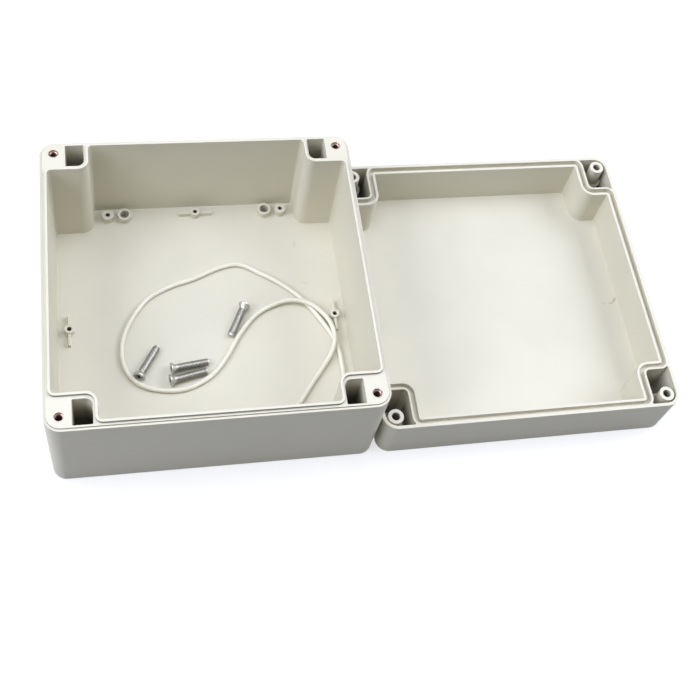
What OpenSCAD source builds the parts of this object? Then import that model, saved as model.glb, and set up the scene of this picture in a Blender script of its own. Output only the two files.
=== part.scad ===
// Square junction box in moulded plastic, shown open. The base stands on its underside, and
// its loose lid lies beside it with the inside up. The cover screws and the seal cord that
// come with the box lie on the floor of the base.
// Millimetres, +Z up. The origin is the centre of the base's underside.

/* [Box] */
// Outside width and depth at the parting face
box_side = 160; // [156:1:190]
// Outside radius of the upright corners
corner_r = 8; // [7.5:0.5:10]
// Distance from the outside faces to the cover screw axes
screw_inset = 7; // [6.5:0.25:7.5]

/* [Base] */
// Height of the land that the lid closes on
base_h = 60; // [45:1:80]
// Thickness of the base floor
base_floor = 3.5; // [2.5:0.25:4.5]
// Draft of the outside walls in degrees
base_draft = 1; // [0.5:0.25:1.5]
// Radius round the edge of the underside
base_edge_r = 1.2; // [0.6:0.1:5]
// Draft of the inside walls in degrees
cavity_draft = 1; // [0.5:0.25:1.25]
// Width of the lowered ledge round the land
ledge_w = 1.2; // [0.8:0.1:1.6]
// Depth of the ledge below the land
ledge_drop = 0.8; // [0.4:0.1:1.2]

/* [Seal line] */
// Distance from the outside faces to the seal line along the walls
seal_inset = 3; // [2.8:0.1:3.4]
// Distance from the X faces to the seal line past a corner block
block_long = 23.6; // [22.6:0.2:28]
// Distance from the Y faces to the seal line past a corner block
block_short = 17.5; // [16.5:0.25:22]
// Radius of the seal line round the nose of a corner block
block_r = 4.8; // [3:0.2:6]
// Radius of the seal line where a corner block meets a wall
room_r = 2.8; // [2.6:0.1:3.4]
// Width of the sealing rib on the base
rib_w = 1.4; // [1:0.1:1.8]
// Height of the sealing rib above the land
rib_h = 1.5; // [1:0.1:2.5]
// Width of the sealing groove in the lid
groove_w = 2.2; // [2:0.1:2.2]
// Depth of the sealing groove
groove_depth = 3.5; // [3:0.25:5]

/* [Corner pockets] */
// Distance from the X faces to the far side of a pocket
pocket_far = 22; // [21:0.25:22]
// Distance from the X faces to the near side of a pocket
pocket_near = 12.8; // [12:0.2:13.4]
// Distance from the Y faces to the inner end of a pocket
pocket_end = 15.1; // [14:0.1:15.2]
// Thickness of the wall outside a pocket
pocket_wall = 2.3; // [2:0.1:2.6]
// Radius at the inner corner of a pocket
pocket_nose_r = 3.5; // [2.5:0.25:4]
// Radius at the other corners of a pocket
pocket_corner_r = 0.5; // [0.5:0.1:2]
// Diameter of the wall-mounting holes in the pocket floors
wall_hole_d = 5; // [4:0.1:5.5]
// Distance from the X faces to the wall-mounting holes
wall_hole_x_inset = 17.5; // [17:0.25:18]
// Distance from the Y faces to the wall-mounting holes
wall_hole_y_inset = 9; // [8:0.25:10]

/* [Floor bosses] */
// Distance from the outside faces to the rows of bosses
boss_inset = 10.5; // [10:0.25:12]
// Height of the bosses above the floor
boss_h = 4; // [3:0.25:6]
// Distance from the centre line to the narrow boss of a pair
narrow_at = 47.5; // [46.5:0.25:48.5]
// Outside diameter of the narrow boss
narrow_d = 6.4; // [5.6:0.1:7]
// Distance from the centre line to the wide boss of a pair
wide_at = 38.5; // [36:0.25:39]
// Outside diameter of the wide boss
wide_d = 7.6; // [7:0.1:8]
// Diameter of the hole in the wide boss
wide_hole_d = 4.8; // [4:0.1:5]
// Outside diameter of the single bosses
single_d = 5; // [4.6:0.1:6]
// Diameter of the screw holes in the narrow and single bosses
pilot_d = 2.4; // [2:0.1:2.8]
// Thickness of the webs beside the single bosses
web_t = 1.4; // [1:0.1:1.8]
// Reach of the webs from the middle of their boss
web_reach = 9; // [7:0.2:14]
// Height of the webs above the floor
web_h = 2.8; // [2:0.1:3]

/* [Lid] */
// Height of the lid
lid_h = 30; // [28:1:40]
// Thickness of the lid face
lid_face = 3; // [2:0.25:4]
// Draft of the lid's outside walls in degrees
lid_draft = 1.5; // [0.5:0.25:2]
// Radius round the edge of the lid face
lid_edge_r = 0.6; // [0.4:0.1:3]
// Width of the rim inside the groove
inner_rim_w = 1.5; // [1:0.1:2]
// Drop of the inner rim below the outer one
inner_rim_drop = 0.5; // [0.2:0.1:1]
// Draft of the lid's inside walls in degrees
lid_cavity_draft = 0.5; // [0.25:0.25:0.75]
// Thickness of the wall between the groove and a corner hollow
groove_wall = 1.2; // [1:0.1:1.6]
// Thickness of the outside wall at a corner hollow
hollow_wall = 1.8; // [1.6:0.1:2.4]
// Outside diameter of a screw tube
tube_d = 8; // [7:0.1:9]
// Drop of the tube tops below the rim
tube_drop = 0.2; // [0.1:0.1:1]
// Diameter of the screw clearance hole
tube_bore_d = 4.2; // [4.1:0.1:4.6]
// Diameter of the wide foot of a screw tube
tube_foot_d = 11.6; // [11:0.2:12.6]
// Height of the wide foot
tube_foot_h = 18; // [12:0.5:20]
// Diameter of the sunk seat for the screw head
seat_d = 8.2; // [7.6:0.1:8.6]
// Depth of the sunk seat from the lid face to its cone
seat_depth = 15.6; // [8:0.2:16]

/* [Place of the lid] */
// Gap between the base and the lid that lies beside it
lid_gap = 0.15; // [0.15:0.05:20]
// Shift of the lid towards the back
lid_shift = 0.8; // [-20:0.1:20]
// Turn of the lid where it lies
lid_turn = 0.3; // [0:0.1:5]

/* [Cover screws] */
// Outside diameter of the thread
screw_d = 4; // [3.5:0.1:4]
// Length beyond the head's cone
screw_len = 17.5; // [14:0.5:18]
// Diameter of the sunk head
head_d = 6.4; // [6:0.1:6.8]
// Height of the sunk head with its cone
head_h = 2.2; // [2:0.1:2.6]
// Width of the arms of the cross recess
cross_w = 0.9; // [0.6:0.1:1.2]
// Span of the cross recess at the head face
cross_span = 3.8; // [3:0.1:4.2]
// Depth of the cross recess
cross_depth = 1.7; // [1:0.1:1.8]

/* [Brass inserts] */
// Outside diameter of an insert
insert_d = 5; // [4.6:0.1:5.6]
// Length of an insert
insert_len = 9; // [6:0.5:12]
// Diameter of the threaded hole at its crests
insert_bore_d = 3.4; // [3.2:0.1:3.6]
// Diameter of the countersink at the mouth
insert_mouth_d = 4.5; // [4.2:0.1:4.6]

/* [Seal cord] */
// Diameter of the cord
cord_d = 2.5; // [2:0.1:2.5]

/* [Hidden] */

$fn = 64;
// Straight pieces in a rounded right-angled corner
corner_steps = 8;
// Least radius that an outward corner keeps when its outline shrinks
least_r = 0.5;
// Straight pieces in a rounded outside edge
edge_steps = 6;
// Overlap that lets cuts pass a face and joined solids share volume
over = 1;
// Play that keeps pieces that touch apart
play = 0.02;

plastic_colour = [0.87, 0.86, 0.82];
cord_colour = [0.95, 0.94, 0.89];
steel_colour = [0.75, 0.75, 0.76];
brass_colour = [0.62, 0.42, 0.28];

half = box_side / 2;
corner_at = half - corner_r;
screw_at = half - screw_inset;
ledge_z = base_h - ledge_drop;
rib_top = base_h + rib_h;
boss_at = half - boss_inset;
boss_top = base_floor + boss_h;
// Rise of the pocket floors above the floor of the room
pocket_rise = 0.5;
pocket_floor = base_floor + pocket_rise;
// Height of the bottom of the bosses' holes
pilot_floor = 1.5;
groove_floor = lid_h - groove_depth;
inner_rim_z = lid_h - inner_rim_drop;
hollow_half = half - hollow_wall;
hollow_r = corner_r - hollow_wall;
// Rounding that takes the knife edges off a corner hollow
hollow_round = 0.6;
// The turned lid reaches its corner's width from its middle, up to the base's wall at its height
lid_reach = corner_at * (cos(lid_turn) + sin(lid_turn)) + corner_r;
lid_x = half - (ledge_z - lid_h) * tan(base_draft) + lid_gap + lid_reach;
screw_end_chamfer = 0.3;
// Straight rim of a screw head, and the chamfer of its edge
head_rim_h = 0.5;
head_edge = 0.12;
head_cone_h = head_h - head_rim_h;
// The cone of a seat is as steep as the cone of a head
seat_cone_h = head_cone_h * (seat_d - tube_bore_d) / (head_d - screw_d);
// A lying screw touches the floor with the rim of its head and with its tip
screw_tilt = atan((head_d - screw_d) / 2 / (head_cone_h + screw_len - screw_end_chamfer));
screw_z = base_floor + play + head_d / 2 * cos(screw_tilt) - head_cone_h * sin(screw_tilt);

// Seal line round the room and past the corner blocks, anticlockwise
seal_half = half - seal_inset;
block_x = half - block_long;
block_y = half - block_short;
seal_line = [
    [seal_half, -block_y], [seal_half, block_y], [block_x, block_y],
    [block_x, seal_half], [-block_x, seal_half], [-block_x, block_y],
    [-seal_half, block_y], [-seal_half, -block_y], [-block_x, -block_y],
    [-block_x, -seal_half], [block_x, -seal_half], [block_x, -block_y]
];
seal_radii = [for (i = [0:len(seal_line) - 1]) i % 3 == 2 ? block_r : room_r];

// Mouth of the corner pocket in the quadrant of positive X and Y, anticlockwise
pocket_line = [
    [half - pocket_far, half - pocket_end],
    [half - pocket_near, half - pocket_end],
    [half - pocket_near, half - pocket_wall],
    [half - pocket_far, half - pocket_wall]
];
pocket_radii = [pocket_nose_r, pocket_corner_r, pocket_corner_r, pocket_corner_r];

// Where the screws lie: the point on plan where the head's cone ends, and heading of the tip
screw_places = [[-34.7, -27.8, 59], [-17.3, -26.1, 9.5], [-18.2, -32.6, 13.5], [20.6, 6.7, -117]];

// Route of the seal cord over the base floor: plan position, and height above lying flat
cord_route = [
    [-50, -58.5, 0], [-13, -59.5, 0], [24, -59.5, 0], [37.5, -56.5, 0],
    [45, -49.5, 0], [52, -40, 0], [59, -31, 0.4], [65, -22.5, 1.6], [67.5, -14.5, 2.7],
    [66.5, -5.5, 2], [63, 1, 1.9], [57, 6.5, 2.6], [49.5, 9.5, 2.3], [41, 9.5, 1.1],
    [28.5, 4, 0], [18, -7.5, 0], [8.5, -22.5, 0], [-0.5, -32, 0], [-13, -37.5, 0],
    [-26, -37, 0], [-37, -32, 0], [-43, -21.5, 0], [-43, -8, 0], [-38, 4.5, 0],
    [-29, 16.5, 0], [-16.5, 23.5, 0], [-4, 27.5, 0], [10, 33.5, 0], [21, 35, 0],
    [32, 29, 0], [44, 20.5, 0], [54.5, 9.5, 0], [63, -4.5, 0], [68, -16, 0],
    [69.5, -28, 0], [68.5, -41, 0], [61, -55, 0], [45, -62.5, 0], [7, -63, 0], [-34, -63, 0]
];
cord_sides = 8;
rings_per_span = 2;
cord_z = base_floor + cord_d / 2 + play;
cord_spans = len(cord_route) - 1;

// Outward direction of an anticlockwise outline's edge
function outward(edge) = [edge.y, -edge.x] / norm(edge);

// Outline of right-angled corners, rounded with radii r and moved outwards by grow
function rounded(p, r, grow) = [
    for (i = [0:len(p) - 1])
        let (
            edge_in = p[i] - p[(i + len(p) - 1) % len(p)],
            edge_out = p[(i + 1) % len(p)] - p[i],
            bulge = cross(edge_in, edge_out) > 0 ? r[i] : -r[i],
            reach = bulge > 0 ? max(bulge + grow, least_r) : bulge + grow,
            n1 = outward(edge_in),
            n2 = outward(edge_out),
            centre = p[i] + (grow - reach) * (n1 + n2)
        )
        for (k = [0:corner_steps])
            let (turn = 90 * k / corner_steps)
            centre + reach * (n1 * cos(turn) + n2 * sin(turn))
];

// Rounded lower edge of a drafted wall that would meet the ground at foot
function edge_arc(foot, r, draft) = [
    for (k = [0:edge_steps])
        let (turn = -90 + (90 - draft) * k / edge_steps)
        [foot - r * (1 - sin(draft)) / cos(draft), r] + r * [cos(turn), sin(turn)]
];

// Point of the cord's centre line, t spans from its start, on a smooth curve through the route
function route_point(i) = cord_route[max(0, min(cord_spans, i))];
function blend(a, b, c, d, u) =
    (2 * b + (c - a) * u + (2 * a - 5 * b + 4 * c - d) * u * u + (3 * b - a - 3 * c + d) * u * u * u) / 2;
function cord_point(t) =
    let (
        i = min(floor(t), cord_spans - 1),
        q = blend(route_point(i - 1), route_point(i), route_point(i + 1), route_point(i + 2), t - i)
    )
    [q.x, q.y, cord_z + max(q.z, 0)];

// Ring of points round the cord, t spans from its start
function cord_ring(t) =
    let (
        step = 0.01,
        along = cord_point(min(t + step, cord_spans)) - cord_point(max(t - step, 0)),
        forward = along / norm(along),
        aside = cross([0, 0, 1], forward) / norm(cross([0, 0, 1], forward)),
        above = cross(forward, aside)
    )
    [
        for (k = [0:cord_sides - 1])
            let (turn = 360 * (k + 0.5) / cord_sides)
            cord_point(t) + cord_d / 2 * (aside * cos(turn) + above * sin(turn))
    ];

// Solid between rings of points that all turn the same way, closed by a fan at each end
module loft(rings) {
    n = len(rings[0]);
    count = len(rings);
    middles = [for (ring = [rings[0], rings[count - 1]]) [for (q = ring) 1] * ring / n];
    sides = [
        for (j = [0:count - 2])
            for (i = [0:n - 1])
                [j * n + i, (j + 1) * n + i, (j + 1) * n + (i + 1) % n, j * n + (i + 1) % n]
    ];
    first_fan = [for (i = [0:n - 1]) [count * n, i, (i + 1) % n]];
    last_fan = [for (i = [0:n - 1]) [count * n + 1, (count - 1) * n + (i + 1) % n, (count - 1) * n + i]];
    polyhedron(
        concat([for (ring = rings) each ring], middles),
        concat(sides, first_fan, last_fan),
        convexity = 10
    );
}

// Solid on a rounded outline that grows by the draft from low to high, true to size at height
module drafted(p, r, grow, height, draft, low, high) {
    loft([
        for (z = [low, high])
            [for (q = rounded(p, r, grow + (z - height) * tan(draft))) [q.x, q.y, z]]
    ]);
}

// Square block with rounded upright corners, whose side has the child profile of reach and height
module square_moulding(height) {
    for (turn = [0:90:270])
        rotate([0, 0, turn])
            translate([corner_at, corner_at, 0]) {
                rotate_extrude(angle = 90)
                    children();
                rotate([90, 0, 0])
                    linear_extrude(2 * corner_at)
                        children();
            }
    translate([-corner_at, -corner_at, 0])
        cube([2 * corner_at, 2 * corner_at, height]);
}

// One copy of the children, modelled in the quadrant of positive X and Y, in each quadrant
module each_corner() {
    for (x = [0, 1])
        for (y = [0, 1])
            mirror([x, 0, 0])
                mirror([0, y, 0])
                    children();
}

// Copies of the children, modelled beside the wall at positive Y, beside each of the four walls
module each_wall() {
    for (turn = [0:90:270])
        rotate([0, 0, turn])
            translate([0, boss_at, 0])
                children();
}

// Area inside the seal line, grown outwards
module seal_area(grow) {
    polygon(rounded(seal_line, seal_radii, grow));
}

// Outside of the base with the land, the ledge and the sealing rib
module base_blank() {
    foot = corner_r - ledge_z * tan(base_draft);
    square_moulding(base_h)
        polygon(concat(
            [[0, 0]],
            edge_arc(foot, base_edge_r, base_draft),
            [
                [corner_r, ledge_z],
                [corner_r - ledge_w, ledge_z],
                [corner_r - ledge_w, base_h],
                [0, base_h]
            ]
        ));
    translate([0, 0, base_h - over])
        linear_extrude(rib_h + over)
            seal_area(rib_w / 2);
}

// Bosses for a mounting plate on the base floor
module floor_bosses() {
    z = base_floor - over;
    height = boss_h + over;
    each_corner() {
        translate([narrow_at, boss_at, z])
            cylinder(d = narrow_d, h = height);
        translate([wide_at, boss_at, z])
            cylinder(d = wide_d, h = height);
    }
    each_wall() {
        translate([0, 0, z])
            cylinder(d = single_d, h = height);
        translate([-web_reach, -web_t / 2, z])
            cube([2 * web_reach, web_t, web_h + over]);
    }
}

// Holes in the floor bosses
module boss_holes() {
    height = boss_top + over - pilot_floor;
    each_corner() {
        translate([narrow_at, boss_at, pilot_floor])
            cylinder(d = pilot_d, h = height);
        translate([wide_at, boss_at, pilot_floor])
            cylinder(d = wide_hole_d, h = height);
    }
    each_wall()
        translate([0, 0, pilot_floor])
            cylinder(d = pilot_d, h = height);
}

// Holes in a corner block: the seat of the insert, and the wall-mounting hole under the pocket
module block_holes() {
    translate([screw_at, screw_at, base_h - insert_len - play])
        cylinder(d = insert_d + 2 * play, h = insert_len + play + over);
    translate([half - wall_hole_x_inset, half - wall_hole_y_inset, -over])
        cylinder(d = wall_hole_d, h = pocket_floor + 2 * over);
}

module base() {
    color(plastic_colour)
        difference() {
            union() {
                difference() {
                    base_blank();
                    drafted(seal_line, seal_radii, -rib_w / 2, rib_top, cavity_draft, base_floor, rib_top + over);
                    each_corner()
                        drafted(pocket_line, pocket_radii, 0, base_h, cavity_draft, pocket_floor, base_h + over);
                }
                floor_bosses();
            }
            boss_holes();
            each_corner()
                block_holes();
        }
}

// Outside of the lid
module lid_blank() {
    foot = corner_r - lid_h * tan(lid_draft);
    square_moulding(lid_h)
        polygon(concat(
            [[0, 0]],
            edge_arc(foot, lid_edge_r, lid_draft),
            [[corner_r, lid_h], [0, lid_h]]
        ));
}

// Area of the four hollows between the groove and the outside corners
module hollow_area() {
    offset(r = hollow_round)
        offset(delta = -hollow_round)
            difference() {
                offset(r = hollow_r)
                    square(2 * (hollow_half - hollow_r), center = true);
                seal_area(groove_w / 2 + groove_wall);
            }
}

// Groove, room and corner hollows of the lid
module lid_hollows() {
    rim_in = -groove_w / 2 - inner_rim_w;
    translate([0, 0, groove_floor])
        linear_extrude(groove_depth + over)
            difference() {
                seal_area(groove_w / 2);
                seal_area(-groove_w / 2);
            }
    translate([0, 0, inner_rim_z])
        linear_extrude(inner_rim_drop + over)
            seal_area(-groove_w / 2);
    drafted(seal_line, seal_radii, rim_in, lid_h, lid_cavity_draft, lid_face, lid_h + over);
    translate([0, 0, lid_face])
        linear_extrude(lid_h)
            hollow_area();
}

// Tube that takes a cover screw, with its wide foot round the head's seat
module screw_tube() {
    z = lid_face - over;
    translate([screw_at, screw_at, z]) {
        cylinder(d = tube_d, h = lid_h - tube_drop - z);
        cylinder(d = tube_foot_d, h = tube_foot_h - z);
    }
}

// Hole through a screw tube: the sunk seat, its cone and the clearance hole
module screw_tube_hole() {
    top = lid_h + over;
    translate([screw_at, screw_at, 0])
        rotate_extrude()
            polygon([
                [0, -over],
                [seat_d / 2, -over],
                [seat_d / 2, seat_depth],
                [tube_bore_d / 2, seat_depth + seat_cone_h],
                [tube_bore_d / 2, top],
                [0, top]
            ]);
}

module lid() {
    color(plastic_colour)
        translate([lid_x, lid_shift, 0])
            rotate([0, 0, 90 + lid_turn])
                difference() {
                    union() {
                        difference() {
                            lid_blank();
                            lid_hollows();
                        }
                        each_corner()
                            screw_tube();
                    }
                    each_corner()
                        screw_tube_hole();
                }
}

module seal_cord() {
    color(cord_colour)
        loft([for (j = [0:cord_spans * rings_per_span]) cord_ring(j / rings_per_span)]);
}

// Half section of a screw, from the head face at -head_h to the tip at screw_len
module screw_section() {
    polygon([
        [0, -head_h],
        [head_d / 2 - head_edge, -head_h],
        [head_d / 2, -head_h + head_edge],
        [head_d / 2, -head_cone_h],
        [screw_d / 2, 0],
        [screw_d / 2, screw_len - screw_end_chamfer],
        [screw_d / 2 - screw_end_chamfer, screw_len],
        [0, screw_len]
    ]);
}

// Cross recess in the head face
module cross_recess() {
    for (turn = [0, 90])
        rotate([0, 0, turn])
            translate([-cross_span / 2, -cross_w / 2, -head_h - over])
                cube([cross_span, cross_w, cross_depth + over]);
}

module cover_screw(place) {
    color(steel_colour)
        translate([place.x, place.y, screw_z])
            rotate([0, 90 + screw_tilt, place.z])
                difference() {
                    rotate_extrude()
                        screw_section();
                    cross_recess();
                }
}

module insert(x, y) {
    mouth = (insert_mouth_d - insert_bore_d) / 2;
    color(brass_colour)
        translate([x * screw_at, y * screw_at, base_h - insert_len])
            rotate_extrude()
                polygon([
                    [insert_bore_d / 2, 0],
                    [insert_d / 2, 0],
                    [insert_d / 2, insert_len],
                    [insert_mouth_d / 2, insert_len],
                    [insert_bore_d / 2, insert_len - mouth]
                ]);
}

base();
lid();
seal_cord();
cover_screw(screw_places[0]);  // cover_screw_1
cover_screw(screw_places[1]);  // cover_screw_2
cover_screw(screw_places[2]);  // cover_screw_3
cover_screw(screw_places[3]);  // cover_screw_4
insert(-1, 1);  // insert_back_left
insert(1, 1);  // insert_back_right
insert(-1, -1);  // insert_front_left
insert(1, -1);  // insert_front_right
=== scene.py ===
# %% [markdown]
# An open junction box. The square base stands on its underside, the lid lies beside it with the
# inside up, and the four cover screws and the seal cord that come with the box lie on the floor of
# the base. The solids come packed from the part's own source and are already true to size. This
# script dresses them: softened edges, screw threads, a round cord, finishes, light and a camera.

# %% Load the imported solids
import math
import statistics

import bmesh
import bpy
from mathutils import Matrix, Vector
from mathutils.bvhtree import BVHTree


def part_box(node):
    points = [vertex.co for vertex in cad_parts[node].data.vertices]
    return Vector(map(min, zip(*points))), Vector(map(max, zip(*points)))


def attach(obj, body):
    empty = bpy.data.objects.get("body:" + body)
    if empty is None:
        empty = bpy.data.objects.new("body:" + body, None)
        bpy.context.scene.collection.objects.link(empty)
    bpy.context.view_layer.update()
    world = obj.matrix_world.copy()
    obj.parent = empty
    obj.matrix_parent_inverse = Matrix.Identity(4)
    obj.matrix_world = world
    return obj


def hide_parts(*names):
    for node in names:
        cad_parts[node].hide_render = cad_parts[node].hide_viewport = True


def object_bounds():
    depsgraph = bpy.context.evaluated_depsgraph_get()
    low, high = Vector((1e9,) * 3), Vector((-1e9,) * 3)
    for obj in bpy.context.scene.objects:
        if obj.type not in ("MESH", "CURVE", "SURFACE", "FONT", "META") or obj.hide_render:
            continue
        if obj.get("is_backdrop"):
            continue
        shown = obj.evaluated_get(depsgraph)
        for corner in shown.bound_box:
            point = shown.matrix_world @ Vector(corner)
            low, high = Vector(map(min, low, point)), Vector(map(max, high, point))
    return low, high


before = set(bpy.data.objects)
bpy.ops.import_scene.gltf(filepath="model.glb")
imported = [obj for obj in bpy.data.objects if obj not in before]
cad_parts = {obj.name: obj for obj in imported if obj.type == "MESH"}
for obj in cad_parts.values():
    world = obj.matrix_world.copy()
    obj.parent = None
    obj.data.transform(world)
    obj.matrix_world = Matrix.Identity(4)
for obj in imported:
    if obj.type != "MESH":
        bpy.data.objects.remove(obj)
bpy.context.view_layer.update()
MM = 0.001
print("solids:", ", ".join(sorted(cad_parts)))

# %% [markdown]
# The camera stands where the photographer stood, a little to the left and well above the box. The
# picture was cropped after it was taken, so the middle of the lens is not the middle of the frame:
# the shift puts it back. Turning the camera instead would bend the upright edges.

# %% Camera
SENSOR_MM = 36
FRAME_PX = 700
FOCAL_PX = 1203.231
LENS_MIDDLE_PX = (380.476, 248.279)
CAMERA_AT_MM = (-46.784, -306.720, 569.108)
CAMERA_TURN = (32.6903, -9.2410, -9.0670)


def new_object(name, data):
    made = bpy.data.objects.new(name, data)
    bpy.context.scene.collection.objects.link(made)
    return made


lens = bpy.data.cameras.new("camera")
lens.sensor_width = SENSOR_MM
lens.lens = FOCAL_PX / FRAME_PX * SENSOR_MM
lens.shift_x = 0.5 - LENS_MIDDLE_PX[0] / FRAME_PX
lens.shift_y = LENS_MIDDLE_PX[1] / FRAME_PX - 0.5
camera = new_object("camera", lens)
camera.location = Vector(CAMERA_AT_MM) * MM
camera.rotation_euler = [math.radians(angle) for angle in CAMERA_TURN]
bpy.context.scene.camera = camera
print(f"lens {lens.lens:.2f} mm, shift {lens.shift_x:.3f}, {lens.shift_y:.3f}")

# %% [markdown]
# Shader trees and geometry trees are both made of nodes with sockets, so one helper adds a node,
# sets its choices and fills its sockets, from a value or from another node's output. Others start a
# geometry tree with named inputs, end it, and run it on a mesh. What a modifier makes is then turned
# into a plain mesh, because a finished piece has no live modifier.

# %% Node helpers
def add(tree, kind, sockets=None, **choices):
    made = tree.nodes.new(kind)
    for name, value in choices.items():
        setattr(made, name, value)
    for key, value in (sockets or {}).items():
        if isinstance(value, bpy.types.NodeSocket):
            tree.links.new(value, made.inputs[key])
        else:
            made.inputs[key].default_value = value
    return made


def math_node(tree, operation, *values):
    made = add(tree, "ShaderNodeMath", dict(enumerate(values)), operation=operation)
    return made.outputs[0]


def geometry_tree(name, inputs):
    tree = bpy.data.node_groups.new(name, "GeometryNodeTree")
    tree.interface.new_socket("Geometry", in_out="INPUT", socket_type="NodeSocketGeometry")
    for label, kind in inputs.items():
        tree.interface.new_socket(label, in_out="INPUT", socket_type="NodeSocket" + kind)
    tree.interface.new_socket("Geometry", in_out="OUTPUT", socket_type="NodeSocketGeometry")
    return tree, tree.nodes.new("NodeGroupInput").outputs


def end_tree(tree, geometry, material):
    real = add(tree, "GeometryNodeRealizeInstances", {"Geometry": geometry})
    painted = add(
        tree, "GeometryNodeSetMaterial", {"Geometry": real.outputs[0], "Material": material}
    )
    add(tree, "NodeGroupOutput", {"Geometry": painted.outputs[0]})


def plain_mesh(host):
    seen = host.evaluated_get(bpy.context.evaluated_depsgraph_get())
    made = bpy.data.meshes.new_from_object(seen)
    bpy.data.objects.remove(host)
    return made


def run_tree(tree, mesh, values):
    host = new_object(tree.name, mesh)
    modifier = host.modifiers.new(tree.name, "NODES")
    modifier.node_group = tree
    for socket in tree.interface.items_tree:
        if socket.in_out == "INPUT" and socket.name in values:
            modifier[socket.identifier] = values[socket.name]
    return plain_mesh(host)


# %% [markdown]
# A finish is a material with a Principled shader that reads Object coordinates, so that its grain
# keeps its real size on every piece. Each finish below adds what the real surface shows, and some
# also paint shade into hollows, so a mesh can keep for each point how deep in one it lies. Noise
# seldom comes near 0 or 1, so its middle is spread over the whole range.

# %% Finish helpers
NOISE_LOW, NOISE_HIGH = 0.3, 0.7
CLOUD_DETAIL, FINE_DETAIL = 3, 2
METRE_MM = (1000, 1000, 1000)


def new_finish(name, **constants):
    material = bpy.data.materials.new(name)
    material.use_nodes = True
    tree = material.node_tree
    shader = tree.nodes["Principled BSDF"]
    for key, value in constants.items():
        shader.inputs[key].default_value = value
    return material, tree, shader


def object_place(tree):
    return add(tree, "ShaderNodeTexCoord").outputs["Object"]


def object_noise(tree, size_mm, detail):
    sockets = {"Vector": object_place(tree), "Scale": 1 / (size_mm * MM), "Detail": detail}
    return add(tree, "ShaderNodeTexNoise", sockets).outputs["Fac"]


def spread_between(tree, factor, low, high, start=0, end=1):
    sockets = {"Value": factor, "From Min": start, "From Max": end, "To Min": low, "To Max": high}
    return add(tree, "ShaderNodeMapRange", sockets).outputs[0]


def cloud_noise(tree, size_mm):
    noise = object_noise(tree, size_mm, CLOUD_DETAIL)
    return spread_between(tree, noise, 0, 1, NOISE_LOW, NOISE_HIGH)


def colour_between(tree, factor, first, second):
    sockets = {"Factor": factor}
    for side, colour in (("A", first), ("B", second)):
        sockets[side] = colour if isinstance(colour, bpy.types.NodeSocket) else (*colour, 1)
    return add(tree, "ShaderNodeMix", sockets, data_type="RGBA").outputs["Result"]


def bump(tree, height, strength, depth_mm):
    sockets = {"Height": height, "Strength": strength, "Distance": depth_mm * MM}
    return add(tree, "ShaderNodeBump", sockets).outputs[0]


def kept_value(tree, name):
    return add(tree, "ShaderNodeAttribute", attribute_name=name).outputs["Fac"]


def distance_from(tree, place_mm, size_mm=METRE_MM, turn=0):
    sockets = {
        "Vector": object_place(tree),
        "Location": Vector(place_mm) * MM,
        "Rotation": (0, 0, math.radians(turn)),
        "Scale": Vector(size_mm) * MM,
    }
    inside = add(tree, "ShaderNodeMapping", sockets, vector_type="TEXTURE").outputs[0]
    length = add(tree, "ShaderNodeVectorMath", {0: inside}, operation="LENGTH")
    return length.outputs["Value"]


# %% [markdown]
# The mouldings are a warm light grey plastic. The tool that moulded them was spark eroded, which
# leaves a very fine even grain, and the melt cooled unevenly, which leaves a faint cloudy drift of
# tone and gloss. Both come from noise at two sizes: the small one as bump, the large one as colour
# and roughness. Painted shade darkens deep pockets and narrow holes, more with depth, and the low
# sides of the base's rib and ledge, so that they show as crisp dark lines. Three parts of an arc at
# the foot of the lid's wall are a painted shadow along the edge of a small round mark on the lid's
# floor, and a faint spot and a smear in the base are marks. Each has its place and half length in
# millimetres, its turn in degrees and its strength.

# %% Shell plastic
DRIFT_MM, GRAIN_MM = 38, 0.35
PLASTIC_COLOURS = (0.608, 0.584, 0.468), (0.643, 0.617, 0.495)
SHADE_AND_MARK_COLOUR, DEEP_SHADE_COLOUR = (0.23, 0.215, 0.16), (0.05, 0.045, 0.03)
SHADE_FROM, SHADE_TO = 0.8, 3.2
DEEP_SHADE_FROM, DEEP_SHADE_TO = 6.0, 10.0
RIB_SHADE = 0.8
LID_FACE_MM, BASE_FLOOR_MM = 3.0, 3.5
MARK_HALF_MM = 1.0
SCUFFS_AND_PAINTED_SHADOW = [
    ((232.5, 0.0, LID_FACE_MM), 2.6, 54, 0.75),
    ((230.1, -1.9, LID_FACE_MM), 2.2, 6, 0.5),
    ((225.5, -1.9, LID_FACE_MM), 2.0, -4, 0.25),
    ((53.3, 47.2, BASE_FLOOR_MM), 2.8, 83, 0.25),
    ((56.3, 21.9, BASE_FLOOR_MM), 4.0, -15, 0.15),
]
plastic, tree, shader = new_finish("grained_plastic", IOR=1.5)
drift = cloud_noise(tree, DRIFT_MM)
colour = colour_between(tree, drift, *PLASTIC_COLOURS)
# The three arc parts paint a shadow along the edge of a small round mark; the spot and smear in the
# base are faint marks.
for place, half_length, turn, strength in SCUFFS_AND_PAINTED_SHADOW:
    away = distance_from(tree, place, (half_length, MARK_HALF_MM, MARK_HALF_MM), turn)
    colour = colour_between(tree, spread_between(tree, away, strength, 0), colour, SHADE_AND_MARK_COLOUR)
# Painted shade on the low sides of the rib and the ledge.
on_rib = spread_between(tree, kept_value(tree, "rib_side"), 0, RIB_SHADE)
colour = colour_between(tree, on_rib, colour, SHADE_AND_MARK_COLOUR)
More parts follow.
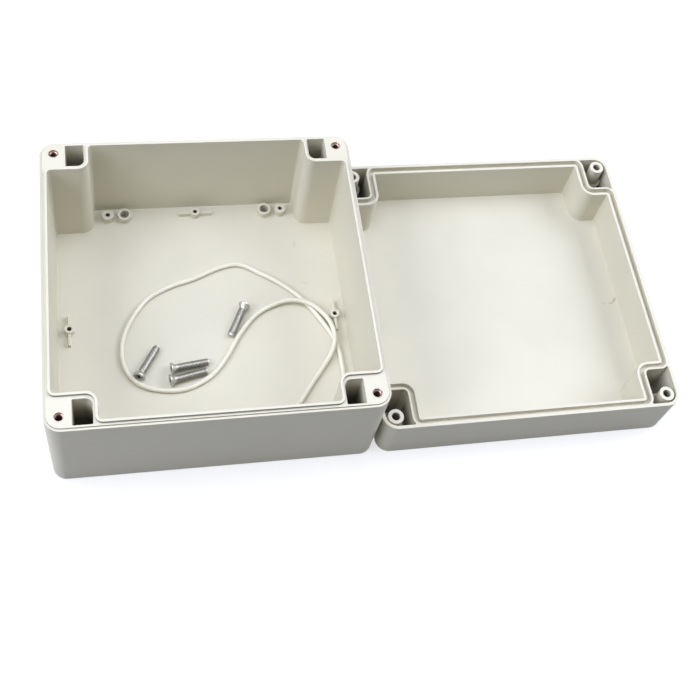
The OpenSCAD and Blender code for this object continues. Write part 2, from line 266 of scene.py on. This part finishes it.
# Painted shade in pockets and holes, darker with depth below the mouth.
hollow_shade = spread_between(tree, kept_value(tree, "hollow_depth"), 0, 1, SHADE_FROM, SHADE_TO)
colour = colour_between(tree, hollow_shade, colour, SHADE_AND_MARK_COLOUR)
deep = spread_between(tree, kept_value(tree, "hollow_depth"), 0, 1, DEEP_SHADE_FROM, DEEP_SHADE_TO)
colour = colour_between(tree, deep, colour, DEEP_SHADE_COLOUR)
grain = bump(tree, object_noise(tree, GRAIN_MM, FINE_DETAIL), strength=0.12, depth_mm=0.05)
tree.links.new(colour, shader.inputs["Base Color"])
tree.links.new(spread_between(tree, drift, 0.42, 0.52), shader.inputs["Roughness"])
tree.links.new(grain, shader.inputs["Normal"])

# %% [markdown]
# The seal is a soft extruded cord. Extrusion leaves faint lines along it, so the tube carries a
# value of its own at each of its sides, which the finish turns into a slight relief.

# %% Seal rubber
CLOUD_MM = 9
RUBBER_COLOURS = (0.70, 0.68, 0.56), (0.75, 0.73, 0.605)
rubber, tree, shader = new_finish("cord_rubber", IOR=1.45)
cloud = cloud_noise(tree, CLOUD_MM)
colour = colour_between(tree, cloud, *RUBBER_COLOURS)
lines = bump(tree, kept_value(tree, "extrusion_line"), strength=0.3, depth_mm=0.04)
tree.links.new(colour, shader.inputs["Base Color"])
tree.links.new(spread_between(tree, cloud, 0.40, 0.52), shader.inputs["Roughness"])
tree.links.new(lines, shader.inputs["Normal"])

# %% [markdown]
# The cover screws are plated steel. The plating is bright but not a mirror, with a slight mottle. The
# roots of the thread are painted darker and the cross recess nearly black, as painted shade. Both
# keep how deep in such a hollow each point lies, as a value that the finish reads.

# %% Screw steel
THREAD_DEPTH, RECESS_DEPTH = 1.0, 2.0
MOTTLE_MM, PITTING_MM = 1.6, 0.12
PLATED_COLOURS = (0.45, 0.445, 0.415), (0.60, 0.595, 0.555)
ROOT_SHADE_COLOUR, RECESS_SHADE_COLOUR = (0.24, 0.235, 0.215), (0.03, 0.03, 0.025)
steel, tree, shader = new_finish("plated_steel", Metallic=1.0)
mottle = cloud_noise(tree, MOTTLE_MM)
colour = colour_between(tree, mottle, *PLATED_COLOURS)
# Painted shade: darker in the roots of the thread, nearly black in the cross recess.
colour = colour_between(tree, kept_value(tree, "hollow_depth"), colour, ROOT_SHADE_COLOUR)
deep = spread_between(tree, kept_value(tree, "hollow_depth"), 0, 1, THREAD_DEPTH, RECESS_DEPTH)
colour = colour_between(tree, deep, colour, RECESS_SHADE_COLOUR)
pitting = bump(tree, object_noise(tree, PITTING_MM, FINE_DETAIL), strength=0.15, depth_mm=0.02)
tree.links.new(colour, shader.inputs["Base Color"])
tree.links.new(spread_between(tree, mottle, 0.32, 0.44), shader.inputs["Roughness"])
tree.links.new(pitting, shader.inputs["Normal"])

# %% [markdown]
# The inserts are brass with a faint tarnish. Only the mouth and the first crest of the thread keep the
# brass colour; deeper in the bore and in the roots of the thread, painted shade turns it nearly black.
# How far below the top a point lies tells where the brass colour ends.

# %% Insert brass
UNSHADED_MM, TARNISH_MM = 2.4, 0.9
BRASS_COLOURS, BORE_SHADE_COLOUR = ((0.80, 0.68, 0.60), (0.54, 0.42, 0.36)), (0.03, 0.015, 0.01)
insert_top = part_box("insert_front_left")[1].z
brass, tree, shader = new_finish("brass_with_bore_shade", Metallic=1.0)
tarnish = cloud_noise(tree, TARNISH_MM)
height = add(tree, "ShaderNodeSeparateXYZ", {0: object_place(tree)}).outputs["Z"]
below = spread_between(tree, height, 1, 0, insert_top - UNSHADED_MM * MM, insert_top)
# Painted shade: the bore below the mouth and the roots of the thread go nearly black.
painted_bore_shade = math_node(tree, "MAXIMUM", kept_value(tree, "hollow_depth"), below)
colour = colour_between(tree, tarnish, *BRASS_COLOURS)
colour = colour_between(tree, painted_bore_shade, colour, BORE_SHADE_COLOUR)
tree.links.new(colour, shader.inputs["Base Color"])
tree.links.new(spread_between(tree, tarnish, 0.22, 0.36), shader.inputs["Roughness"])
print("finishes:", ", ".join(sorted(material.name for material in (plastic, rubber, steel, brass))))

# %% [markdown]
# The seal cord is 0.6 m of round cord, cut square at both ends, that lies as it fell out of its
# bag. Its route over the floor is the same list of points as in the part's source, and the same
# smooth curve through them. A geometry tree then draws a round section along it.

# %% Seal cord route
CORD_MM = 2.5
CORD_SIDES = 24
CORD_STEPS = 12
PLAY_MM = 0.02
CORD_LIFT_MM = BASE_FLOOR_MM + CORD_MM / 2 + PLAY_MM
CORD_ROUTE = [
    (-50, -58.5, 0), (-13, -59.5, 0), (24, -59.5, 0), (37.5, -56.5, 0), (45, -49.5, 0),
    (52, -40, 0), (59, -31, 0.4), (65, -22.5, 1.6), (67.5, -14.5, 2.7), (66.5, -5.5, 2),
    (63, 1, 1.9), (57, 6.5, 2.6), (49.5, 9.5, 2.3), (41, 9.5, 1.1), (28.5, 4, 0),
    (18, -7.5, 0), (8.5, -22.5, 0), (-0.5, -32, 0), (-13, -37.5, 0), (-26, -37, 0),
    (-37, -32, 0), (-43, -21.5, 0), (-43, -8, 0), (-38, 4.5, 0), (-29, 16.5, 0),
    (-16.5, 23.5, 0), (-4, 27.5, 0), (10, 33.5, 0), (21, 35, 0), (32, 29, 0),
    (44, 20.5, 0), (54.5, 9.5, 0), (63, -4.5, 0), (68, -16, 0), (69.5, -28, 0),
    (68.5, -41, 0), (61, -55, 0), (45, -62.5, 0), (7, -63, 0), (-34, -63, 0),
]


def smooth_route(points, steps):
    route = [Vector(point) for point in points]
    route = [route[0], *route, route[-1]]
    for a, b, c, d in zip(route, route[1:], route[2:], route[3:]):
        for step in range(steps):
            u = step / steps
            square = (2 * a - 5 * b + 4 * c - d) * u * u
            cube = (3 * b - a - 3 * c + d) * u * u * u
            yield (2 * b + (c - a) * u + square + cube) / 2
    yield route[-1]


cord_path = [
    Vector((q.x, q.y, CORD_LIFT_MM + max(q.z, 0))) * MM
    for q in smooth_route(CORD_ROUTE, CORD_STEPS)
]
cord_length = sum((b - a).length for a, b in zip(cord_path, cord_path[1:]))
print(f"cord: {len(cord_path)} points, {cord_length / MM:.1f} mm long")

# %% [markdown]
# The tube is a ring of points swept along the route. Each point of the ring keeps a random value, and
# the sweep carries it along the whole cord, so it becomes one of the extrusion lines of the finish.

# %% Seal cord
LINE_SEED = 4
tree, given = geometry_tree("cord_tube", {"Diameter": "Float", "Sides": "Int", "Material": "Material"})
spine = add(tree, "GeometryNodeMeshToCurve", {"Mesh": given["Geometry"]})
ring = add(
    tree,
    "GeometryNodeCurvePrimitiveCircle",
    {"Resolution": given["Sides"], "Radius": math_node(tree, "DIVIDE", given["Diameter"], 2.0)},
)
line = add(tree, "FunctionNodeRandomValue", {"Seed": LINE_SEED}, data_type="FLOAT")
lined = add(
    tree,
    "GeometryNodeStoreNamedAttribute",
    {"Geometry": ring.outputs[0], "Name": "extrusion_line", "Value": line.outputs["Value"]},
    data_type="FLOAT",
    domain="POINT",
)
tube = add(
    tree,
    "GeometryNodeCurveToMesh",
    {"Curve": spine.outputs[0], "Profile Curve": lined.outputs[0], "Fill Caps": True},
)
end_tree(tree, tube.outputs[0], given["Material"])

spine_mesh = bpy.data.meshes.new("cord_spine")
spine_mesh.from_pydata(cord_path, [(i, i + 1) for i in range(len(cord_path) - 1)], [])
cord_mesh = run_tree(
    tree, spine_mesh, {"Diameter": CORD_MM * MM, "Sides": CORD_SIDES, "Material": rubber}
)
print("cord tube:", len(cord_mesh.polygons), "faces")

# %% [markdown]
# Every finished piece goes through one function: it makes the object from its mesh, puts it on the
# box's only body, and hides the solids that it stands for. Turned and swept meshes are smoothed
# first, up to an angle that keeps real edges sharp. The cord is the first piece.

# %% Piece helpers and the cord's piece
SHARP_FROM = 35
METAL_SHARP_FROM = 32


def shade_smooth(mesh):
    mesh.polygons.foreach_set("use_smooth", [True] * len(mesh.polygons))


def smooth_to_edges(mesh, sharp_from):
    shade_smooth(mesh)
    mesh.set_sharp_from_angle(angle=math.radians(sharp_from))


def finished_piece(name, mesh, nodes):
    mesh.name = name
    piece = new_object(name, mesh)
    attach(piece, "root")
    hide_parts(*nodes)
    return piece


smooth_to_edges(cord_mesh, SHARP_FROM)
cord = finished_piece("seal_cord_round", cord_mesh, ["seal_cord"])
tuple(cord_path[0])
heights = [point.z / MM for point in cord_path]
print(f"{cord.name}: its axis runs {min(heights):.2f} to {max(heights):.2f} mm above the ground")

# %% [markdown]
# A point of a moulding is in a hollow if the way up is open and a wall is close by on all sides. By
# halving steps, the height up to which that holds is found: there is the hollow's mouth. A broad room
# has no wall close by, so it is no hollow and gets no painted shade.

# %% Mouth over a point
CLOSE_BY_MM = 17
SHALLOW_MM = 0.5
HALVINGS = 7
WAYS = 8
UP = Vector((0, 0, 1))
ANGLES = [2 * math.pi * way / WAYS for way in range(WAYS)]
AROUND = [Vector((math.cos(angle), math.sin(angle), 0)) for angle in ANGLES]


def width_at(solid, point):
    hits = [solid.ray_cast(point, way, CLOSE_BY_MM * MM)[3] for way in AROUND]
    return None if None in hits else 2 * sum(hits) / len(hits)


def mouth_and_width(solid, point, top):
    width = width_at(solid, point)
    if width is None or solid.ray_cast(point, UP)[0]:
        return None
    low, high = 0.0, top - point.z
    for _ in range(HALVINGS):
        middle = (low + high) / 2
        if width_at(solid, point + UP * middle):
            low = middle
        else:
            high = middle
    return (point.z + low, width) if low > SHALLOW_MM * MM else None


# %% [markdown]
# Points that hang together by edges make one hollow with one mouth and one width. Each of them keeps
# how deep below the mouth it lies, in widths. In narrow holes that depth counts several times over, so
# they take the painted shade sooner.

# %% Hollows of a moulding
OFF_MM = 0.05
PIN_MM, PIN_SHADE_GAIN = 3.0, 4.0


def groups_of(indices, edges):
    near = {index: [] for index in indices}
    for a, b in edges:
        if a in near and b in near:
            near[a].append(b)
            near[b].append(a)
    while near:
        group = [next(iter(near))]
        beside = near.pop(group[0])
        while beside:
            index = beside.pop()
            if index in near:
                beside += near.pop(index)
                group.append(index)
        yield group


def mark_hollows(mesh):
    places = [vertex.co for vertex in mesh.vertices]
    solid = BVHTree.FromPolygons(places, [face.vertices[:] for face in mesh.polygons])
    top = max(place.z for place in places)
    found = {}
    for vertex in mesh.vertices:
        hollow = mouth_and_width(solid, vertex.co + vertex.normal * OFF_MM * MM, top)
        if hollow:
            found[vertex.index] = hollow
    depths = [0.0] * len(places)
    hollows = list(groups_of(found, [edge.vertices for edge in mesh.edges]))
    for group in hollows:
        mouth = max(found[index][0] for index in group)
        width = statistics.median(found[index][1] for index in group)
        # Narrow holes take the painted shade sooner.
        shade_gain = PIN_SHADE_GAIN if width < PIN_MM * MM else 1
        for index in group:
            depths[index] = (mouth - places[index].z) / width * shade_gain
    mesh.attributes.new("hollow_depth", "FLOAT", "POINT").data.foreach_set("value", depths)
    return len(hollows)


# %% [markdown]
# No moulding has knife edges: the tool's edges leave a radius of a few tenths of a millimetre, and
# that radius is what catches the light along every rim and rib. The two mouldings are copies of
# their solids with the loose triangles merged and joined into flat faces, so that a Bevel modifier
# finds only the real edges.

# %% Edge radii
EDGE_RADIUS_MM = 0.2
EDGE_FROM, FLAT_WITHIN = 40, 0.6
LOOSE_MM = 0.002


def soften(node):
    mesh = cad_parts[node].data.copy()
    mesh.materials.clear()
    mesh.materials.append(plastic)
    work = bmesh.new()
    work.from_mesh(mesh)
    bmesh.ops.remove_doubles(work, verts=work.verts, dist=LOOSE_MM * MM)
    bmesh.ops.dissolve_limit(
        work, angle_limit=math.radians(FLAT_WITHIN), verts=work.verts, edges=work.edges
    )
    work.to_mesh(mesh)
    work.free()
    shade_smooth(mesh)
    print(f"{node}: {len(mesh.polygons)} flat faces")
    host = new_object(node + "_copy", mesh)
    edge = host.modifiers.new("edge_radius", "BEVEL")
    edge.width = EDGE_RADIUS_MM * MM
    edge.segments = 2
    edge.limit_method = "ANGLE"
    edge.angle_limit = math.radians(EDGE_FROM)
    edge.use_clamp_overlap = False
    edge.miter_outer = "MITER_ARC"
    lay_flat = host.modifiers.new("flat_faces_first", "WEIGHTED_NORMAL")
    lay_flat.mode = "FACE_AREA"
    lay_flat.weight = 100
    return plain_mesh(host)


# %% [markdown]
# On the base, the steep faces that lie close to the top and inside the outer walls are the sides of
# the rib and the ledge. They keep a value of their own, with which the finish paints shade on them.
# Then both mouldings are done.

# %% Base and lid
RIM_MM, RIM_WITHIN_MM, STEEP = 2.7, 79, 0.5


def mark_rib_sides(mesh):
    rim = max(vertex.co.z for vertex in mesh.vertices) - RIM_MM * MM
    marks = [
        float(
            face.center.z > rim
            and abs(face.normal.z) < STEEP
            and max(abs(face.center.x), abs(face.center.y)) < RIM_WITHIN_MM * MM
        )
        for face in mesh.polygons
    ]
    mesh.attributes.new("rib_side", "FLOAT", "FACE").data.foreach_set("value", marks)
    print(int(sum(marks)), "faces at the sides of the rib and the ledge")


for node in ("base", "lid"):
    mesh = soften(node)
    hollows = mark_hollows(mesh)
    if node == "base":
        mark_rib_sides(mesh)
    piece = finished_piece(node + "_moulding", mesh, [node])
    print(piece.name, len(mesh.polygons), "faces,", hollows, "hollows")

# %% [markdown]
# Screws and inserts share the same metric thread, once outside and once inside. A thread is one rule
# all along: a sheet of faces is rolled into a tube whose rows climb by one pitch a turn, and every
# second pair of rows stands out to the crest. Clamping the height cuts both ends square.

# %% Rows of a thread
ROWS_A_TURN = 4.0
tree, given = geometry_tree(
    "metric_thread",
    {
        "Length": "Float",
        "Pitch": "Float",
        "Root radius": "Float",
        "Crest radius": "Float",
        "Sides": "Int",
        "Material": "Material",
    },
)
turns = math_node(tree, "CEIL", math_node(tree, "DIVIDE", given["Length"], given["Pitch"]))
last_row = math_node(tree, "MULTIPLY", math_node(tree, "ADD", turns, 1.0), ROWS_A_TURN)
sheet = add(
    tree,
    "GeometryNodeMeshGrid",
    {
        "Size X": 1.0,
        "Size Y": 1.0,
        "Vertices X": math_node(tree, "ADD", given["Sides"], 1.0),
        "Vertices Y": math_node(tree, "ADD", last_row, 1.0),
    },
)
flat = add(tree, "ShaderNodeSeparateXYZ", {0: add(tree, "GeometryNodeInputPosition").outputs[0]})
around = math_node(tree, "ADD", flat.outputs["X"], 0.5)
along = math_node(tree, "ADD", flat.outputs["Y"], 0.5)
row = math_node(tree, "ROUND", math_node(tree, "MULTIPLY", along, last_row))
turned = math_node(tree, "ADD", math_node(tree, "DIVIDE", row, ROWS_A_TURN), around)
climb = math_node(tree, "MULTIPLY", math_node(tree, "SUBTRACT", turned, 1.0), given["Pitch"])
height = math_node(tree, "MINIMUM", math_node(tree, "MAXIMUM", climb, 0.0), given["Length"])

# %% [markdown]
# Rows 1 and 2 of the four in each turn are on the crest, and rows 3 and 0 in the root. The ridge fades
# over the last pitch at both ends. The same tree makes both threads, from other radii, and keeps for
# the finishes how deep in the thread each point lies.

# %% Ridge of a thread
CREST_MIDDLE, CREST_HALF = 1.5, 1.0
DOUBLES_MM = 0.001
to_end = math_node(tree, "MINIMUM", height, math_node(tree, "SUBTRACT", given["Length"], height))
fade = math_node(tree, "MINIMUM", math_node(tree, "DIVIDE", to_end, given["Pitch"]), 1.0)
row_in_turn = math_node(tree, "MODULO", row, ROWS_A_TURN)
from_middle = math_node(tree, "ABSOLUTE", math_node(tree, "SUBTRACT", row_in_turn, CREST_MIDDLE))
on_crest = math_node(tree, "LESS_THAN", from_middle, CREST_HALF)
ridge = math_node(tree, "SUBTRACT", given["Crest radius"], given["Root radius"])
risen = math_node(tree, "MULTIPLY", on_crest, fade)
radius = math_node(tree, "MULTIPLY_ADD", ridge, risen, given["Root radius"])
angle = math_node(tree, "MULTIPLY", around, 2 * math.pi)
rolled = add(
    tree,
    "ShaderNodeCombineXYZ",
    {
        "X": math_node(tree, "MULTIPLY", radius, math_node(tree, "COSINE", angle)),
        "Y": math_node(tree, "MULTIPLY", radius, math_node(tree, "SINE", angle)),
        "Z": height,
    },
)
depth = math_node(tree, "MULTIPLY", math_node(tree, "SUBTRACT", 1.0, on_crest), fade)
marked = add(
    tree,
    "GeometryNodeStoreNamedAttribute",
    {"Geometry": sheet.outputs[0], "Name": "hollow_depth", "Value": depth},
    data_type="FLOAT",
    domain="POINT",
)
tube = add(
    tree, "GeometryNodeSetPosition", {"Geometry": marked.outputs[0], "Position": rolled.outputs[0]}
)
closed = add(
    tree, "GeometryNodeMergeByDistance", {"Geometry": tube.outputs[0], "Distance": DOUBLES_MM * MM}
)
end_tree(tree, closed.outputs[0], given["Material"])
thread_tree = tree
print("thread tree:", len(thread_tree.nodes), "nodes")

# %% [markdown]
# The rest of a screw or an insert is turned: a half section spun round the axis. It stops at the two
# end rings of the thread, with the same number of sides, so that merging the doubles makes one
# closed skin.

# %% Turned parts
THREAD_SIDES = 32
PITCH_MM = 0.7


def spin_section(work, section):
    rings = []
    for reach, height in section:
        count = THREAD_SIDES if reach else 1
        turns = [2 * math.pi * side / THREAD_SIDES for side in range(count)]
        ring = [Vector((reach * math.cos(t), reach * math.sin(t), height)) * MM for t in turns]
        rings.append([work.verts.new(point) for point in ring])
    for low, high in zip(rings, rings[1:]):
        for side in range(THREAD_SIDES):
            after = (side + 1) % THREAD_SIDES
            corners = [low[side % len(low)], low[after % len(low)]]
            corners += [high[after % len(high)], high[side % len(high)]]
            work.faces.new(dict.fromkeys(corners))


def threaded_part(name, sections, thread_from, thread_to, root, crest, material):
    values = {
        "Length": (thread_to - thread_from) * MM,
        "Pitch": PITCH_MM * MM,
        "Root radius": root * MM,
        "Crest radius": crest * MM,
        "Sides": THREAD_SIDES,
        "Material": material,
    }
    mesh = run_tree(thread_tree, bpy.data.meshes.new(name), values)
    mesh.transform(Matrix.Translation((0, 0, thread_from * MM)))
    work = bmesh.new()
    work.from_mesh(mesh)
    for section in sections:
        spin_section(work, section)
    bmesh.ops.remove_doubles(work, verts=work.verts, dist=DOUBLES_MM * MM)
    bmesh.ops.recalc_face_normals(work, faces=work.faces)
    open_edges = sum(not edge.is_manifold for edge in work.edges)
    for face in work.faces:
        face.material_index = 0
    work.to_mesh(mesh)
    work.free()
    mesh.materials.clear()
    mesh.materials.append(material)
    print(f"{name}: {len(mesh.polygons)} faces, {open_edges} open edges")
    return mesh


# %% [markdown]
# A cover screw has a sunk head, which is a cone under a short straight rim, then a full thread and a
# chamfered tip.

# %% Cover screw
SCREW_LEN, SCREW_R, SCREW_ROOT = 17.5, 2.0, 1.72
HEAD_H, HEAD_R, HEAD_RIM, HEAD_EDGE = 2.2, 3.2, 0.5, 0.12
HEAD_CONE = HEAD_H - HEAD_RIM
NECK, TIP = 0.6, 0.3
head_section = [
    (0, -HEAD_H),
    (HEAD_R - HEAD_EDGE, -HEAD_H),
    (HEAD_R, HEAD_EDGE - HEAD_H),
    (HEAD_R, -HEAD_CONE),
    (SCREW_R, 0),
    (SCREW_ROOT, NECK),
]
tip_section = [(SCREW_ROOT, SCREW_LEN - TIP), (SCREW_ROOT - TIP / 2, SCREW_LEN), (0, SCREW_LEN)]
screw_mesh = threaded_part(
    "cover_screw", [head_section, tip_section], NECK, SCREW_LEN - TIP, SCREW_ROOT, SCREW_R, steel
)

# %% [markdown]
# The cross recess is a tapered cross that a Boolean modifier takes out of the head, as a punch does.
# The cut's points below the head's face then get the value for a deep hollow, which the finish paints
# nearly black as painted shade. The punch has a row of points just below that face, so the whole
# recess takes the painted shade and the face stays bright.

# %% Cross recess
CROSS_W, CROSS_SPAN, CROSS_DEPTH = 0.9, 3.8, 1.7
CROSS_OVER, CROSS_LIP, CROSS_TAPER = 0.2, 0.08, 0.55
LEVELS = [-HEAD_H - CROSS_OVER, CROSS_LIP - HEAD_H, CROSS_DEPTH - HEAD_H]


def cross_outline(height):
    down = (height - LEVELS[0]) / (LEVELS[-1] - LEVELS[0])
    arm, side = CROSS_SPAN / 2 * (1 - (1 - CROSS_TAPER) * down), CROSS_W / 2
    quarter = [(arm, -side), (arm, side), (side, side)]
    for turn in range(4):
        for x, y in quarter:
            yield Matrix.Rotation(math.pi / 2 * turn, 3, "Z") @ Vector((x, y, height)) * MM


punch = bpy.data.meshes.new("cross_punch")
points = [point for height in LEVELS for point in cross_outline(height)]
sides = len(points) // len(LEVELS)
walls = [
    (row + i, row + (i + 1) % sides, row + sides + (i + 1) % sides, row + sides + i)
    for row in range(0, len(points) - sides, sides)
    for i in range(sides)
]
ends = [tuple(reversed(range(sides))), tuple(range(len(points) - sides, len(points)))]
punch.from_pydata(points, [], walls + ends)
punch_object = new_object("cross_punch", punch)
screw_object = new_object("cover_screw", screw_mesh)
cut = screw_object.modifiers.new("cross_recess", "BOOLEAN")
cut.operation = "DIFFERENCE"
cut.solver = "EXACT"
cut.object = punch_object
screw_mesh = plain_mesh(screw_object)
bpy.data.objects.remove(punch_object)
in_recess = 0
# These points take the painted shade of the recess.
for vertex, depth in zip(screw_mesh.vertices, screw_mesh.attributes["hollow_depth"].data):
    below_face = (CROSS_LIP / 2 - HEAD_H) * MM < vertex.co.z < 0
    if below_face and vertex.co.xy.length < CROSS_SPAN / 2 * MM:
        depth.value = RECESS_DEPTH
        in_recess += 1
smooth_to_edges(screw_mesh, METAL_SHARP_FROM)
print(f"cover screw: {len(screw_mesh.polygons)} faces, {in_recess} points in its recess")

# %% [markdown]
# The four screws lie where the source puts them: the rim of the head and the tip touch the floor, so
# each one tilts a little. The places are the same numbers as in the source.

# %% Lay the screws
SCREW_PLACES = [(-34.7, -27.8, 59), (-17.3, -26.1, 9.5), (-18.2, -32.6, 13.5), (20.6, 6.7, -117)]
tilt = math.atan((HEAD_R - SCREW_R) / (HEAD_CONE + SCREW_LEN - TIP))
lift = BASE_FLOOR_MM + PLAY_MM + HEAD_R * math.cos(tilt) - HEAD_CONE * math.sin(tilt)
for number, (x, y, heading) in enumerate(SCREW_PLACES, 1):
    mesh = screw_mesh.copy()
    mesh.transform(
        Matrix.Translation(Vector((x, y, lift)) * MM)
        @ Matrix.Rotation(math.radians(heading), 4, "Z")
        @ Matrix.Rotation(math.pi / 2 + tilt, 4, "Y")
    )
    node = f"cover_screw_{number}"
    piece = finished_piece(node + "_threaded", mesh, [node])
    box = [Vector(piece.bound_box[0]), Vector(piece.bound_box[6])]
    off = [max(map(abs, seen - solid)) / MM for seen, solid in zip(box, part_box(node))]
    print(piece.name, "off its solid by", [round(gap, 3) for gap in off], "mm")

# %% [markdown]
# A brass insert sits flush in the top of each corner block. Its mouth is opened to a cone that leads
# the screw in, and the inside is threaded. The outside is hidden in the plastic and stays plain.

# %% Inserts
INSERT_LEN, INSERT_R, MOUTH_R = 9, 2.5, 2.25
THREAD_R, BORE_R = 2.0, 1.7
LEAD = 0.5
insert_section = [
    (THREAD_R, LEAD),
    (MOUTH_R, 0),
    (INSERT_R, 0),
    (INSERT_R, INSERT_LEN),
    (MOUTH_R, INSERT_LEN),
    (THREAD_R, INSERT_LEN - LEAD),
]
insert_mesh = threaded_part(
    "insert", [insert_section], LEAD, INSERT_LEN - LEAD, THREAD_R, BORE_R, brass
)
smooth_to_edges(insert_mesh, METAL_SHARP_FROM)
for node in sorted(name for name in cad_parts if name.startswith("insert_")):
    low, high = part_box(node)
    mesh = insert_mesh.copy()
    mesh.transform(Matrix.Translation(((low.x + high.x) / 2, (low.y + high.y) / 2, low.z)))
    finished_piece(node + "_threaded", mesh, [node])

# %% [markdown]
# The floor is plain and pale. For the camera and in reflections it adds a little light of its own, so
# that it reads as white paper and still keeps the shadow of the box. Far from the box, where the lamps
# do not reach, it adds more, so that it ends in the white background. Light that falls on the box from
# the floor comes only from its colour.

# %% Floor
FLOOR_HALF = 4.0
FLOOR_GREY = (0.36, 0.36, 0.36, 1)
GLOW_NEAR, GLOW_FAR = 0.66, 1.0
NEAR, FAR = 0.5, 1.2
corners = [(-1, -1), (1, -1), (1, 1), (-1, 1)]
places = [(x * FLOOR_HALF, y * FLOOR_HALF, -PLAY_MM * MM) for x, y in corners]
floor_mesh = bpy.data.meshes.new("floor")
floor_mesh.from_pydata(places, [], [(0, 1, 2, 3)])
floor = new_object("floor", floor_mesh)
floor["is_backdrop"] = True


def seen_directly(tree):
    path = add(tree, "ShaderNodeLightPath").outputs
    mirrored = math_node(tree, "MAXIMUM", path["Is Glossy Ray"], path["Is Transmission Ray"])
    return math_node(tree, "MAXIMUM", path["Is Camera Ray"], mirrored)


paper = bpy.data.materials.new("floor_paper")
paper.use_nodes = True
tree = paper.node_tree
tree.nodes.clear()
matt = add(tree, "ShaderNodeBsdfDiffuse", {"Color": FLOOR_GREY})
away = distance_from(tree, (0, 0, 0))
lift_to_white = spread_between(tree, away, GLOW_NEAR, GLOW_FAR, NEAR, FAR)
strength = math_node(tree, "MULTIPLY", seen_directly(tree), lift_to_white)
glow = add(tree, "ShaderNodeEmission", {"Strength": strength})
both = add(tree, "ShaderNodeAddShader", {0: matt.outputs[0], 1: glow.outputs[0]})
add(tree, "ShaderNodeOutputMaterial", {"Surface": both.outputs[0]})
floor_mesh.materials.append(paper)
print(f"floor: {2 * FLOOR_HALF} m wide")

# %% [markdown]
# The background is white for the camera and in reflections, and adds next to nothing to the light on
# the box. So the light can be set with lamps alone.

# %% Background
SOFT_COLOUR, SOFT_STRENGTH = (0.96, 1.0, 1.08, 1), 0.01
WHITE = (1, 1, 1, 1)
world = bpy.data.worlds.new("studio")
world.use_nodes = True
bpy.context.scene.world = world
tree = world.node_tree
tree.nodes.clear()
soft = add(tree, "ShaderNodeBackground", {"Color": SOFT_COLOUR, "Strength": SOFT_STRENGTH})
white = add(tree, "ShaderNodeBackground", {"Color": WHITE, "Strength": 1.0})
mix = {0: seen_directly(tree), 1: soft.outputs[0], 2: white.outputs[0]}
either = add(tree, "ShaderNodeMixShader", mix)
add(tree, "ShaderNodeOutputWorld", {"Surface": either.outputs[0]})
print("world:", world.name)

# %% [markdown]
# The photo's shadows are soft and its walls are lit from both sides, as between two wide panels. So
# a panel stands on each side, with a weaker one in front on the left, a small one overhead and a
# faint one behind. All of them have the same slightly cool colour and face the middle of the part.

# %% Light
PANEL_COLOUR = (0.966, 1.0, 1.155)
AIM = Vector((0.08, 0, 0))


def panel(name, at, size, power):
    lamp = bpy.data.lights.new(name, "AREA")
    lamp.shape = "RECTANGLE"
    lamp.size, lamp.size_y = size
    lamp.energy = power
    lamp.color = PANEL_COLOUR
    made = new_object(name, lamp)
    made.location = at
    made.rotation_euler = (AIM - Vector(at)).to_track_quat("-Z", "Y").to_euler()
    print(f"panel {name}: {power} W")


panel("left", (-0.9, 0.1, 0.8), (0.9, 0.9), 9.5)
panel("right", (1.0, 0.1, 0.8), (0.9, 0.9), 11.5)
panel("front_left", (-0.8, -0.4, 0.8), (0.7, 0.7), 5.2)
panel("overhead", (0, 0.05, 1.0), (0.5, 0.5), 4.2)
panel("behind_right", (0.8, 0.7, 0.8), (0.9, 0.9), 2.2)

# %% [markdown]
# The Standard view shows the light as it falls, without a film look, so the tones can be compared with
# the photo. The size of the dressed part is printed.

# %% Hand over
bpy.context.scene.view_settings.view_transform = "Standard"
low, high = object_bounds()
print("dressed box in mm:", [round(side / MM, 1) for side in high - low])
